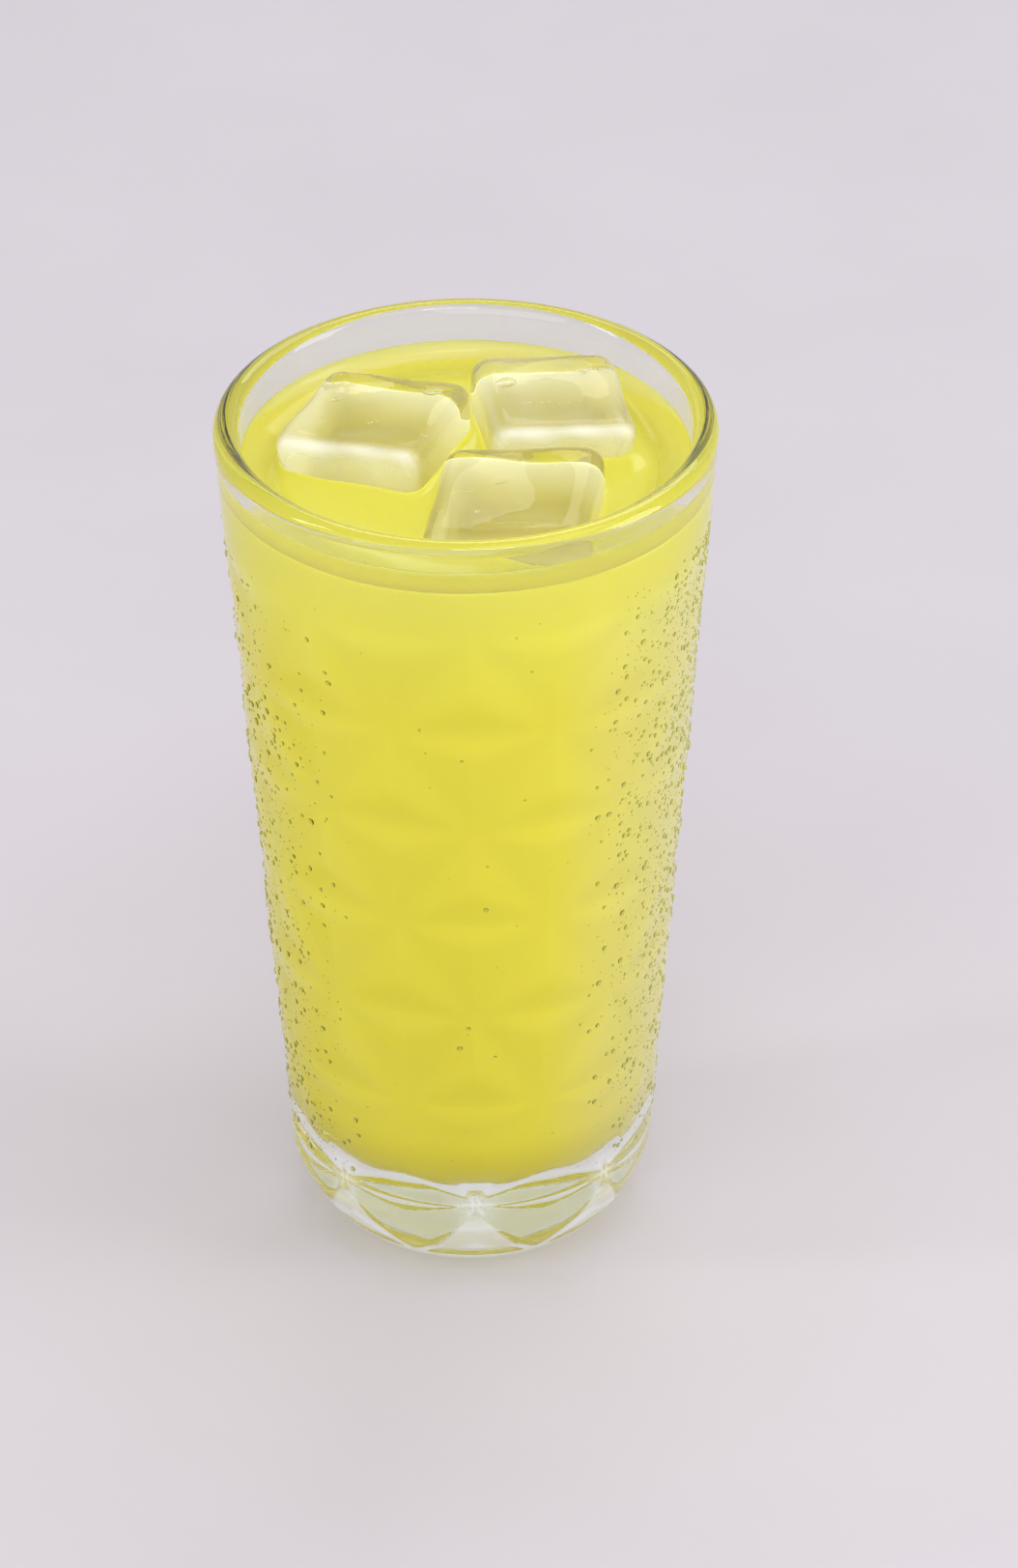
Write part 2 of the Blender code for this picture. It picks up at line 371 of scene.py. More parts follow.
def painted_light_share(points):
    """How white the outer wall is painted: painted highlights round the lowest points of the lattice,
    and a painted veil of light on its right side.

    A painted star falls off with the square of the distance from its point, and six rays of it go
    further up and out. The facet under the point is painted white too, between two lines that spread
    from the point evenly with height. The painted veil rises evenly to its full share and falls again.
    """
    z = points[:, 2]
    radius = np.linalg.norm(points[:, :2], axis=1)
    turn = np.arctan2(points[:, 0], -points[:, 1])
    column = math.tau / COLUMNS
    across = np.abs(turn - column * np.round(turn / column)) * radius
    up = z - ROW_HEIGHTS[ROWS - 1]
    rays = np.cos(3 * np.arctan2(up, across)) ** 2
    painted_light = np.exp(-(np.hypot(across, up) / STAR_REACH) ** 2) * (1 - RAYS_SHARE + RAYS_SHARE * rays)
    facet = np.clip((-up * FACET_SPREAD - across) / FACET_EDGE, 0, 1)
    facet *= np.interp(z, FACET_FOOT, (0, 1)) * np.clip(-up / FACET_FADE, 0, 1)
    white = np.maximum(STAR_WHITENESS * painted_light, FACET_WHITENESS * facet) * (z < STARS_BELOW)
    # A faint painted veil of light on the right side, where the dew is
    mist = np.interp(np.degrees(turn), PAINTED_VEIL_TURNS, (0, 1, 1, 0))
    mist *= np.interp(z, PAINTED_VEIL_HEIGHTS, (0, 1, 1, 0))
    outside = radius > outer_radius(z) - 2 * PIT_DEPTH
    return np.where(outside, np.maximum(white, PAINTED_VEIL_WHITENESS * mist), 0.0).astype(np.float32)


# The glass's mesh: points round it, and rows along each stretch of its profile
GLASS_COLUMNS = 384
BAND_ROWS = 24
INNER_ROWS = 14
LIP_ROWS = 20
RIM_ROWS = 9
FOOT_ROWS = 8
BASE_RINGS = (0.97, 0.7, 0.35)


def tumbler_glass(material):
    """The glass: a profile carried round the axis, with the lattice taken off its outer wall.

    The profile runs from the floor's centre up the inner cone, over a half circle at the lip and
    down the outer cone and heel to the centre of the base.
    """
    turn = around(GLASS_COLUMNS)[None, :]
    radius, z = corner_profile(0.0)
    wall_z = np.linspace(z[-1], LIP_HEIGHT, INNER_ROWS)[1:-1]
    over = np.linspace(0, math.pi, LIP_ROWS)
    lip_r = MOUTH_RADIUS - LIP_RADIUS * (1 + np.cos(over))
    inner_r = np.concatenate([radius, inner_radius(wall_z), lip_r])
    inner_z = np.concatenate([z, wall_z, LIP_HEIGHT + LIP_RADIUS * np.sin(over)])
    band = np.arange(BAND_ROWS) / BAND_ROWS
    outer_z = np.concatenate(
        [np.linspace(LIP_HEIGHT, TOP_ROW_HEIGHT, RIM_ROWS)[1:-1]]
        + [top + (low - top) * band for top, low in zip(ROW_HEIGHTS, ROW_HEIGHTS[1:])]
        + [HEEL_ROW_HEIGHT * (1 - np.linspace(0, 1, FOOT_ROWS)) ** 2])
    base_r = BASE_RADIUS * np.array(BASE_RINGS)
    rings = np.concatenate([
        placed(inner_r[:, None], turn, inner_z[:, None]),
        placed(wall_radius(turn, outer_z[:, None]), turn, outer_z[:, None]),
        placed(base_r[:, None], turn, 0.0)])
    points, faces = turned_skin(rings, (0, 0, FLOOR_HEIGHT), (0, 0, 0))
    glass = make_piece("tumbler_glass", points, faces, material)
    # Painted star highlights, white facets and the painted veil of light, kept on the mesh
    layer = glass.data.attributes.new("painted_light", "FLOAT", "POINT")
    layer.data.foreach_set("value", painted_light_share(points))
    return glass


def ice_matrix(block):
    """From a cube's own axes, with the middle of its top face at nought, to the glass's."""
    turns = Euler([math.radians(t) for t in block["turns"]])
    return np.array(Matrix.Translation(Vector(block["place"]) * MM) @ turns.to_matrix().to_4x4())


def distance_to_ice(points, block):
    """How far points lie outside a cube of ice: the distance to a box with rounded edges."""
    inverse = np.linalg.inv(ice_matrix(block))
    local = points @ inverse[:3, :3].T + inverse[:3, 3]
    size = np.array(block["size"]) * MM
    narrow = 1 + (1 - ICE_BOTTOM_SCALE) * local[..., 2:] / size[2]
    half = np.concatenate([size[:2] / 2 * narrow, np.full_like(narrow, size[2] / 2)], -1)
    local = local + [0, 0, size[2] / 2]
    reach = np.abs(local) - (half - ICE_EDGE_RADIUS)
    outside = np.linalg.norm(np.maximum(reach, 0), axis=-1)
    return outside + np.minimum(reach.max(-1), 0) - ICE_EDGE_RADIUS


ICE_WETTING = 0.3


def rise_at_ice(points):
    """How far the drink climbs over its level round the cubes of ice."""
    rise = 0.0
    for block in ICE_CUBES.values():
        gap = np.maximum(distance_to_ice(points, block), 0)
        rise = np.hypot(rise, ICE_WETTING * np.interp(gap, MENISCUS_RUN, MENISCUS_RISE))
    return np.minimum(rise, MENISCUS_RISE[0])


def rise_at_wall(points):
    """How far the drink climbs at the glass.

    It is the meniscus' rise less an even ramp that brings it to nought at the ring's inner edge,
    and less a dip, by the fourth power of the run, that sinks that edge in the drink.
    """
    run = inner_radius(CONTACT_HEIGHT) - np.linalg.norm(points[..., :2], axis=-1)
    share = run / MENISCUS_WIDTH
    rise = np.interp(run, MENISCUS_RUN, MENISCUS_RISE)
    edge = np.interp(MENISCUS_WIDTH, MENISCUS_RUN, MENISCUS_RISE)
    return rise - edge * np.clip(share, 0, 1) - MENISCUS_DIP * share ** 4


# Cloudy lemonade: water, sugar and fine lemon pulp. The pulp scatters light, red and green further
# than blue, so that the drink glows yellow from inside. Its colour by height is painted shade and
# light: darker towards the bottom and at the level itself, paler just under the level. Round the ice
# the cut faces are painted paler, as painted light, and darker with depth, as painted shade.
PULP_RADII = (1.0, 0.9, 0.25)
PULP_SCALE = 1.5 * MM
CLOUD_SIZE = 18 * MM
CLOUD_SHADE = 0.03


def cloudy_lemonade(name, *stops):
    material, tree = new_material(name)
    place = add_node(tree, "ShaderNodeTexCoord").outputs["Object"]
    height = add_node(tree, "ShaderNodeSeparateXYZ", Vector=place).outputs["Z"]
    share = add_node(tree, "ShaderNodeMapRange", Value=height, From_Min=FLOOR_HEIGHT, From_Max=LEVEL)
    # Colour by height from the given stops: painted shade and painted light
    painted_height_tone = add_node(tree, "ShaderNodeValToRGB", Fac=share.outputs[0])
    colour_stops(painted_height_tone, *stops)
    cloud = add_node(tree, "ShaderNodeTexNoise", Vector=place, Scale=1 / CLOUD_SIZE, Detail=2.0)
    shade = add_node(tree, "ShaderNodeMapRange", Value=cloud.outputs[0], To_Min=1 - CLOUD_SHADE,
                     To_Max=1 + CLOUD_SHADE)
    body = add_node(tree, "ShaderNodeVectorMath", {"operation": "SCALE"},
                    _0=painted_height_tone.outputs[0], Scale=shade.outputs[0])
    shader = add_node(tree, "ShaderNodeBsdfPrincipled", Base_Color=body.outputs[0], Roughness=0.06,
                      IOR=1.34, Subsurface_Weight=1.0, Subsurface_Radius=PULP_RADII,
                      Subsurface_Scale=PULP_SCALE)
    finish_material(tree, Surface=shader.outputs[0])
    return material


# The thin edge of the drink, where it climbs the wall: half of the light goes through it and loses
# its blue, more where it is thicker, and the pulp scatters the rest. Inwards it fades to nothing, so
# that it passes softly into the cloudy drink under it.
PULP_SHARE = 0.5
FADE_FROM, FADE_TO = 1.2 * MM, 7.0 * MM
BLUE_LOSS_PER_METRE = 200.0


def thin_lemonade():
    material, tree = new_material("thin_lemonade_at_the_wall")
    clear = add_node(tree, "ShaderNodeBsdfPrincipled", Base_Color=CLEAR, Roughness=0.0, IOR=1.34,
                     Transmission_Weight=1.0)
    through = let_light_through(tree, clear.outputs[0], CLEAR)
    place = add_node(tree, "ShaderNodeTexCoord").outputs["Object"]
    flat = add_node(tree, "ShaderNodeVectorMath", {"operation": "MULTIPLY"}, _0=place, _1=(1, 1, 0))
    radius = add_node(tree, "ShaderNodeVectorMath", {"operation": "LENGTH"}, _0=flat.outputs[0])
    inner_edge = inner_radius(CONTACT_HEIGHT) - MENISCUS_WIDTH
    fade = add_node(tree, "ShaderNodeMapRange", {"interpolation_type": "SMOOTHSTEP"},
                    Value=radius.outputs["Value"], From_Min=inner_edge + FADE_FROM,
                    From_Max=inner_edge + FADE_TO)
    # The pulp is painted the drink's level colour at its inner edge, which carries painted shade, and a
    # lighter yellow towards the wall
    pulp_colour = add_node(tree, "ShaderNodeValToRGB", Fac=fade.outputs[0])
    colour_stops(pulp_colour, (0.3, "#D8D250"), (1.0, "#EDE468"))
    pulp = add_node(tree, "ShaderNodeBsdfPrincipled", Base_Color=pulp_colour.outputs[0], Roughness=0.05,
                    IOR=1.34, Subsurface_Weight=1.0, Subsurface_Radius=PULP_RADII,
                    Subsurface_Scale=PULP_SCALE)
    both = add_node(tree, "ShaderNodeMixShader", _0=PULP_SHARE, _1=through, _2=pulp.outputs[0])
    nothing = add_node(tree, "ShaderNodeBsdfTransparent")
    seen = add_node(tree, "ShaderNodeMixShader", _0=fade.outputs[0], _1=nothing.outputs[0],
                    _2=both.outputs[0])
    absorber = add_node(tree, "ShaderNodeVolumeAbsorption", Color=(1.0, 0.98, 0.2, 1),
                        Density=BLUE_LOSS_PER_METRE)
    finish_material(tree, Surface=seen.outputs[0], Volume=absorber.outputs[0])
    return material


def cut_with_ice(piece, material):
    """Takes the cubes of ice, a little shrunk, out of the piece; the cut faces get the material."""
    cutters = [ice_block(name, -ICE_SINK, material) for name in ICE_CUBES]
    for cutter in cutters:
        cut = piece.modifiers.new("room_for_" + cutter.name, "BOOLEAN")
        cut.operation = "DIFFERENCE"
        cut.solver = "EXACT"
        cut.material_mode = "TRANSFER"
        cut.object = cutter
    graph = bpy.context.evaluated_depsgraph_get()
    cut_mesh = bpy.data.meshes.new_from_object(piece.evaluated_get(graph))
    piece.modifiers.clear()
    piece.data = cut_mesh
    for cutter in cutters:
        bpy.data.objects.remove(cutter)


LEMONADE_COLUMNS = 320
SIDE_ROWS = 15
LEVEL_RINGS = 110
PATTERN_FADE = 6 * MM


def lemonade_body(material, painted_cavity_material):
    """The cloudy drink: the cavity's profile carried round the axis, closed by the drink's level.

    The side reaches a little into the glass. The pressed lattice throws its pattern of light on
    it, so it stands out under the pits, less and less near the corner. The level rises only where
    it meets the ice.
    """
    turn = around(LEMONADE_COLUMNS)[None, :]
    radius, z = corner_profile(-REACH_INTO_WALL)
    marks = np.concatenate([[z[-1]], np.sort(ROW_HEIGHTS[ROW_HEIGHTS > z[-1]]), [LEVEL]])
    steps = [np.linspace(low, high, SIDE_ROWS + 1)[1:] for low, high in zip(marks, marks[1:])]
    wall_z = np.concatenate(steps)
    pattern = lattice_relief(turn, wall_z[:, None]) * PATTERN_DEPTH / PIT_DEPTH
    pattern *= np.clip((wall_z[:, None] - z[-1]) / PATTERN_FADE, 0, 1)
    side = placed(inner_radius(wall_z[:, None]) + REACH_INTO_WALL + pattern, turn, wall_z[:, None])
    top_r = np.linspace(inner_radius(LEVEL) + REACH_INTO_WALL, 0, LEVEL_RINGS)[1:-1]
    top = placed(top_r[:, None], turn, LEVEL)
    top[..., 2] += rise_at_ice(top)
    rings = np.concatenate([placed(radius[:, None], turn, z[:, None]), side, top])
    centre = np.array([0.0, 0.0, LEVEL])
    centre[2] += rise_at_ice(centre[None])[0]
    body = make_piece("lemonade_body", *turned_skin(rings, (0, 0, z[0]), centre), material)
    # The faces cut round the ice get the paler lemonade, painted light, darker with depth as painted shade
    cut_with_ice(body, painted_cavity_material)
    return body


# Rings of the thin edge: every fourth of the meniscus' steep samples, then evenly spaced ones
STEEP_STEPS = slice(0, 100, 4)
GENTLE_FROM = 100
GENTLE_STEPS = 24
BELOW_STEPS = 12


def lemonade_meniscus(material):
    """The drink's thin edge: a ring whose upper side is the curve with which a liquid climbs a
    wall, and whose lower side is sunk in the cloudy drink."""
    turn = around(LEMONADE_COLUMNS)[None, :]
    gentle = np.linspace(MENISCUS_RUN[GENTLE_FROM], MENISCUS_WIDTH, GENTLE_STEPS)
    run = np.concatenate([MENISCUS_RUN[STEEP_STEPS], gentle])
    mouth = inner_radius(CONTACT_HEIGHT)
    top = placed((mouth - run)[:, None], turn, LEVEL)
    top[..., 2] += rise_at_wall(top) + rise_at_ice(top) + MENISCUS_LIFT
    low = LEVEL - MENISCUS_SINK
    bottom_r = np.linspace(mouth - MENISCUS_WIDTH, inner_radius(low) + MENISCUS_REACH, BELOW_STEPS)
    wall_z = np.linspace(low, CONTACT_HEIGHT, BELOW_STEPS)[1:]
    rings = np.concatenate([
        top, placed(bottom_r[:, None], turn, low),
        placed((inner_radius(wall_z) + MENISCUS_REACH)[:, None], turn, wall_z[:, None])])
    rows, columns = rings.shape[:2]
    number = np.arange(rows * columns).reshape(rows, columns)
    below, beside = np.roll(number, -1, axis=0), np.roll(number, -1, axis=1)
    quads = np.stack([number, below, np.roll(below, -1, axis=1), beside], -1).reshape(-1, 4)
    ring = make_piece("lemonade_meniscus", rings.reshape(-1, 3), [quads], material)
    cut_with_ice(ring, material)
    return ring


ICE_SINK = 0.06 * MM
ICE_STEPS = 36
MELT_DEPTH = 0.22 * MM
# Waves of melting: turns in radians per mm along the three axes, and a start
MELT_WAVES = ((0.45, 0.2, 0.3, 0.4), (-0.25, 0.5, 0.15, 2.1), (0.2, -0.3, 0.55, 4.0))
DISH_DEPTH = 0.5 * MM
DISH_SPREAD = 0.6
WELD = 0.001 * MM

# Painted highlights: how white the front top edge, the front and the other top edges are painted, and how
# far that reaches
RIDGE_WHITENESS, FACE_WHITENESS, EDGE_WHITENESS = 0.22, 0.6, 0.08
MOST_WHITENESS = 0.65
HIGHLIGHT_INSET = 0.6 * MM
RIDGE_REACH = 0.9 * MM
FACE_REACH, FACE_DEPTH = 1.2 * MM, 7 * MM
SHEEN_REACH = 1.5 * MM
PATCH_DEPTH = 0.25
# Patches: radians per metre across and down, and a start, of each of two waves
PATCH_WAVES = ((520.0, 0.0, 1.3), (240.0, 610.0, 0.0))


def painted_highlight_share(points, size, painted_highlight, painted_sheen):
    """How white the ice is painted, as painted highlights and painted light: some along its front top
    edge, most on the front, a little on edges, and a painted sheen over the top.

    Each share falls off with the square of the distance from its edge or face, and two crossed
    waves break the larger ones into patches.
    """
    x, z = points[:, 0], points[:, 2]
    half = size[:2] / 2 * (1 + (1 - ICE_BOTTOM_SCALE) * points[:, 2:] / size[2])
    to_top = -z - HIGHLIGHT_INSET
    to_front = half[:, 1] + points[:, 1] - HIGHLIGHT_INSET
    to_sides = half[:, 0] - np.abs(x) - HIGHLIGHT_INSET
    ridge = np.exp(-(np.hypot(to_top, to_front) / RIDGE_REACH) ** 2)
    edges = np.exp(-(np.hypot(to_top, to_sides) / RIDGE_REACH) ** 2)
    first, second = (np.sin(x * across + z * down + start) for across, down, start in PATCH_WAVES)
    patches = 1 - PATCH_DEPTH * (1 - first * second)
    face = np.exp(-(to_front / FACE_REACH) ** 2) * np.exp(-np.maximum(to_top, 0) / FACE_DEPTH) * patches
    top = np.exp(-(np.maximum(to_top, 0) / SHEEN_REACH) ** 2) * patches
    white = RIDGE_WHITENESS * ridge + FACE_WHITENESS * face + EDGE_WHITENESS * edges
    return np.clip(painted_highlight * white + painted_sheen * top, 0, MOST_WHITENESS)


def ice_block(name, grow, material):
    """A melting cube: each face of a box is a grid, drawn in and rounded at its edges.

    A point of the box is held to a smaller core box, and moved out from there by the edge radius.
    The block narrows evenly downwards, its top is a shallow dish, and slow waves from melting
    cross it.
    """
    block = ICE_CUBES[name]
    size = np.array(block["size"]) * MM
    spread = np.sin(np.linspace(-1, 1, ICE_STEPS + 1) * math.pi / 2)
    u, v = np.meshgrid(spread, spread, indexing="ij")
    sheets, faces = [], []
    number = np.arange(u.size).reshape(u.shape)
    quads = np.stack([number[:-1, :-1], number[1:, :-1], number[1:, 1:], number[:-1, 1:]], -1)
    quads = quads.reshape(-1, 4)
    for axis in range(3):
        for side in (-1, 1):
            sheet = np.empty(u.shape + (3,))
            sheet[..., axis] = side
            sheet[..., (axis + 1) % 3] = u * side
            sheet[..., (axis + 2) % 3] = v
            faces.append(quads + len(sheets) * u.size)
            sheets.append(sheet.reshape(-1, 3))
    box = np.concatenate(sheets)
    half = size / 2 + grow
    radius = ICE_EDGE_RADIUS + grow
    core = np.clip(box * half, radius - half, half - radius)
    away = box * half - core
    away /= np.linalg.norm(away, axis=1, keepdims=True)
    points = core + radius * away
    waves = sum(np.sin(points @ np.array(wave[:3]) / MM + wave[3] + block["wave_start"])
                for wave in MELT_WAVES)
    points = points + away * (MELT_DEPTH * waves / len(MELT_WAVES))[:, None]
    from_middle = np.linalg.norm(points[:, :2] / half[:2], axis=1)
    dish = DISH_DEPTH * np.exp(-(from_middle / DISH_SPREAD) ** 4) * (points[:, 2] > 0)
    points[:, 2] -= dish + size[2] / 2
    points[:, :2] *= 1 + (1 - ICE_BOTTOM_SCALE) * points[:, 2:] / size[2]
    _, first, same = np.unique((points / WELD).round().astype(np.int64), axis=0,
                               return_index=True, return_inverse=True)
    points = points[first]
    faces = [same.ravel()[face] for face in faces]
    # White painted highlights, painted light and painted sheen, kept on the mesh
    painted_highlight = painted_highlight_share(points, size, block["painted_highlight"], block["painted_sheen"])
    matrix = ice_matrix(block)
    points = points @ matrix[:3, :3].T + matrix[:3, 3]
    piece = make_piece("ice_" + name, points, faces, material)
    layer = piece.data.attributes.new("painted_highlight", "FLOAT", "POINT")
    layer.data.foreach_set("value", painted_highlight.astype(np.float32))
    return piece


# Ice: clear ice from a tray, wet and half melted. Its skin is smooth water over slow waves. Painted
# highlights whiten its edges, painted light its front, and a painted sheen thinly the top of one.
RIPPLE_SIZE, RIPPLE_DEPTH = 5 * MM, 0.25 * MM


def clear_ice():
    material, tree = new_material("clear_melting_ice")
    place = add_node(tree, "ShaderNodeTexCoord").outputs["Object"]
    ripple = add_node(tree, "ShaderNodeTexNoise", Vector=place, Scale=1 / RIPPLE_SIZE, Detail=2.0)
    bump = add_node(tree, "ShaderNodeBump", Height=ripple.outputs[0], Strength=0.35, Distance=RIPPLE_DEPTH)
    shader = add_node(tree, "ShaderNodeBsdfPrincipled", Base_Color=linear("#FDFDF8"), Roughness=0.02,
                      IOR=1.31, Transmission_Weight=1.0, Normal=bump.outputs[0])
    clear = let_light_through(tree, shader.outputs[0], linear("#FAFAF2"))
    white = add_node(tree, "ShaderNodeBsdfPrincipled", Base_Color=linear("#FDFCF2"), Roughness=0.15,
                     IOR=1.31)
    # Painted highlights and sheen mixed in as white
    painted_highlight = add_node(tree, "ShaderNodeAttribute", {"attribute_name": "painted_highlight"})
    both = add_node(tree, "ShaderNodeMixShader", _0=painted_highlight.outputs["Fac"], _1=clear, _2=white.outputs[0])
    finish_material(tree, Surface=both.outputs[0])
    return material


# Air in the ice: bubbles and thin cracks that it froze with. Light turns back at them, so that they
# look silvery or dark.
def trapped_air():
    material, tree = new_material("air_trapped_in_ice")
    shader = add_node(tree, "ShaderNodeBsdfPrincipled", Base_Color=CLEAR, Roughness=0.03,
                      IOR=1 / 1.31, Transmission_Weight=1.0)
    finish_material(tree, Surface=let_light_through(tree, shader.outputs[0], CLEAR))
    return material


BUBBLE_SIDES = 12
BUBBLE_RINGS = 7
BUBBLE_BEND = 0.22
BUBBLE_WAVE = 1.7
UPRIGHT = (0, 0, 0)
# Flaws in each cube, in mm from the middle of its top face: centre, half sizes, turns in degrees
ICE_FLAWS = {
    "left": [
        ((1.1, -3.3, -1.2), (0.5, 0.35, 0.3), UPRIGHT),
        ((2.0, -3.0, -1.3), (0.35, 0.3, 0.25), UPRIGHT),
        ((-7.5, -3.5, -1.8), (0.3, 0.25, 0.2), UPRIGHT),
        ((10.3, -4.5, -1.8), (0.35, 0.3, 0.25), UPRIGHT),
        ((4.7, -9.8, -1.6), (0.3, 0.3, 0.25), UPRIGHT),
        ((6.8, 9.0, -2.0), (1.9, 1.0, 0.8), (8, 20, 30)),
        ((-8.0, 4.0, -2.6), (0.9, 0.5, 0.4), (0, 10, 20))],
    "right": [
        ((-4.9, -2.2, -2.2), (0.9, 0.35, 0.35), UPRIGHT),
        ((-2.6, -1.8, -2.5), (0.4, 0.3, 0.3), UPRIGHT),
        ((-1.0, -1.6, -2.2), (0.35, 0.3, 0.3), UPRIGHT),
        ((0.6, -1.5, -2.6), (0.45, 0.3, 0.3), UPRIGHT),
        ((2.4, -1.2, -2.4), (0.4, 0.3, 0.3), UPRIGHT),
        ((4.3, -0.9, -2.5), (0.3, 0.25, 0.25), UPRIGHT),
        ((-7.0, 4.5, -2.4), (1.8, 1.2, 0.7), (14, -12, 10))],
    "front": [
        ((-5.1, -5.0, -1.5), (0.45, 0.4, 0.35), UPRIGHT),
        ((-8.4, 0.5, -1.6), (2.6, 0.12, 0.3), (12, 6, 20)),
        ((-2.6, 3.4, -1.8), (1.7, 0.12, 0.3), (-10, 4, 35)),
        ((1.5, -7.4, -1.8), (3.2, 0.14, 0.3), (14, 2, -5)),
        ((0.8, -1.8, -2.4), (0.8, 0.12, 0.3), (0, 8, 12))],
}


def ice_flaws(material):
    """Bubbles and cracks: each is a ball stretched along its own three axes, and a slow wave bends
    it along those that are under a millimetre."""
    lift = np.linspace(-math.pi / 2, math.pi / 2, BUBBLE_RINGS + 2)[1:-1]
    ball = ball_rings(lift, BUBBLE_SIDES)
    ball, faces = turned_skin(ball, (0, 0, -1), (0, 0, 1))
    points, count = [], 0
    for name, flaws in ICE_FLAWS.items():
        matrix = ice_matrix(ICE_CUBES[name])
        for centre, half, turns in flaws:
            shape = ball * half
            bend = BUBBLE_BEND * np.sin(shape[:, [1, 2, 0]] * BUBBLE_WAVE + count)
            shape = shape + bend * (np.array(half) < 1)
            spin = np.array(Euler([math.radians(t) for t in turns]).to_matrix())
            local = (shape @ spin.T + centre) * MM
            points.append(local @ matrix[:3, :3].T + matrix[:3, 3])
            count += 1
    return make_piece("ice_flaws", np.concatenate(points), repeated(faces, len(ball), count), material)


# Dew: drops of water that condense on the cold glass. They stand proud like lenses and gather the
# drink's colour; their pale yellow-green tint is a painted reflection of that colour, so that they look
# olive.
def dew_water():
    material, tree = new_material("condensed_water")
    shader = add_node(tree, "ShaderNodeBsdfPrincipled", Base_Color=linear("#E6E9B0"), Roughness=0.04,
                      IOR=1.33, Transmission_Weight=1.0)
    finish_material(tree, Surface=let_light_through(tree, shader.outputs[0], linear("#EEF0D8")))
    return material


# Dew: how many drops are tried, their radii, the gap they keep, and where they lie. A share of the
# tries stays everywhere, more on the right and some on the left, from a turn in degrees that is free
# of them and over a ramp. On the right they thin out downwards, and on the left near the top.
DEW_SEED = 7
DEW_TRIES = 26000
DEW_SMALLEST, DEW_LARGEST = 0.12 * MM, 0.55 * MM
DEW_SMALLNESS = 3.5
DEW_CLEARANCE = 0.1 * MM
DEW_LOWEST, DEW_HIGHEST = 18 * MM, 133 * MM
DEW_EVERYWHERE = 0.006
DEW_LEFT = 0.42
DEW_RIGHT_FROM, DEW_LEFT_FROM, DEW_RAMP = 30.0, 35.0, 35.0
DEW_RIGHT_TOP, DEW_RIGHT_LEAST, DEW_RIGHT_FADE = 1.25, 0.3, 130 * MM
DEW_LEFT_FADE = 25 * MM
# The largest drops, about to run: turn in degrees, height and radius in mm
BEADS = (
    (84.0, 88.6, 0.95), (87.0, 78.3, 0.8), (86.0, 64.1, 0.75), (-86.0, 45.5, 0.7), (62.0, 54.0, 0.6),
    (-70.0, 100.0, 0.6), (128.0, 92.0, 0.8), (-140.0, 70.0, 0.8), (176.0, 58.0, 0.7))


def dew_places(rng):
    """Turn, height and radius of each drop: random, apart from each other, few near the front.

    Drops are densest on the right, from the shoulder to the middle, and sparser on the left.
    """
    turn = rng.uniform(-180, 180, DEW_TRIES)
    z = rng.uniform(DEW_LOWEST, DEW_HIGHEST, DEW_TRIES)
    size = DEW_SMALLEST + (DEW_LARGEST - DEW_SMALLEST) * rng.random(DEW_TRIES) ** DEW_SMALLNESS
    down = DEW_HIGHEST - z
    right = np.clip((turn - DEW_RIGHT_FROM) / DEW_RAMP, 0, 1)
    right *= np.clip(DEW_RIGHT_TOP - down / DEW_RIGHT_FADE, DEW_RIGHT_LEAST, 1)
    left = DEW_LEFT * np.clip((-turn - DEW_LEFT_FROM) / DEW_RAMP, 0, 1) * np.clip(down / DEW_LEFT_FADE, 0, 1)
    keep = rng.random(DEW_TRIES) < DEW_EVERYWHERE + np.maximum(right, left)
    beads = np.array(BEADS)
    turn = np.radians(np.append(turn[keep], beads[:, 0]))
    z = np.append(z[keep], beads[:, 1] * MM)
    size = np.append(size[keep], beads[:, 2] * MM)
    order = np.argsort(-size)
    size, turn, z = size[order], turn[order], z[order]
    spot = placed(wall_radius(turn, z), turn, z)
    kept = []
    for k in range(len(size)):
        gaps = np.linalg.norm(spot[kept] - spot[k], axis=1) - size[kept] - size[k]
        if gaps.min(initial=math.inf) >= DEW_CLEARANCE:
            kept.append(k)
    return turn[kept], z[kept], size[kept]


DROP_SIDES = 10
DROP_LIFTS = (-8.0, 12.0, 38.0, 66.0)
DROP_FLOOR = -0.14
DROP_HEIGHT_SHARE = 0.5
DROP_STRETCH = (0.85, 1.2)
TURN_STEP, HEIGHT_STEP = 0.005, 0.2 * MM


def dew_drops(material):
    """Drops of dew: each is a low dome, ring by ring, on the wall, with its flat side sunk in it.

    A dome's axes are the wall's own: round it, up it, and out of it, from the slope of the
    wall's surface over a small step of turn and of height.
    """
    rng = np.random.default_rng(DEW_SEED)
    turn, z, size = dew_places(rng)
    dome = ball_rings(np.radians(DROP_LIFTS), DROP_SIDES)
    drop, faces = turned_skin(dome, (0, 0, DROP_FLOOR), (0, 0, 1))
    stretch = rng.uniform(*DROP_STRETCH, (len(size), 2))
    scale = np.stack([size * stretch[:, 0], size * stretch[:, 1], size * DROP_HEIGHT_SHARE], -1)
    local = drop[None] * scale[:, None]
    here = placed(wall_radius(turn, z), turn, z)
    beside = placed(wall_radius(turn + TURN_STEP, z), turn + TURN_STEP, z) - here
    above = placed(wall_radius(turn, z + HEIGHT_STEP), turn, z + HEIGHT_STEP) - here
    out = np.cross(beside, above)
    axes = [v / np.linalg.norm(v, axis=1, keepdims=True) for v in (beside, np.cross(out, beside), out)]
    points = here[:, None] + sum(local[:, :, k:k + 1] * axes[k][:, None] for k in range(3))
    faces = repeated(faces, len(drop), len(size))
    return make_piece("dew_drops", points.reshape(-1, 3), faces, material)


# Stage

TABLE_REACH, TABLE_HEIGHT = 3.0, -0.02 * MM
MOTTLE_SIZE = 60 * MM


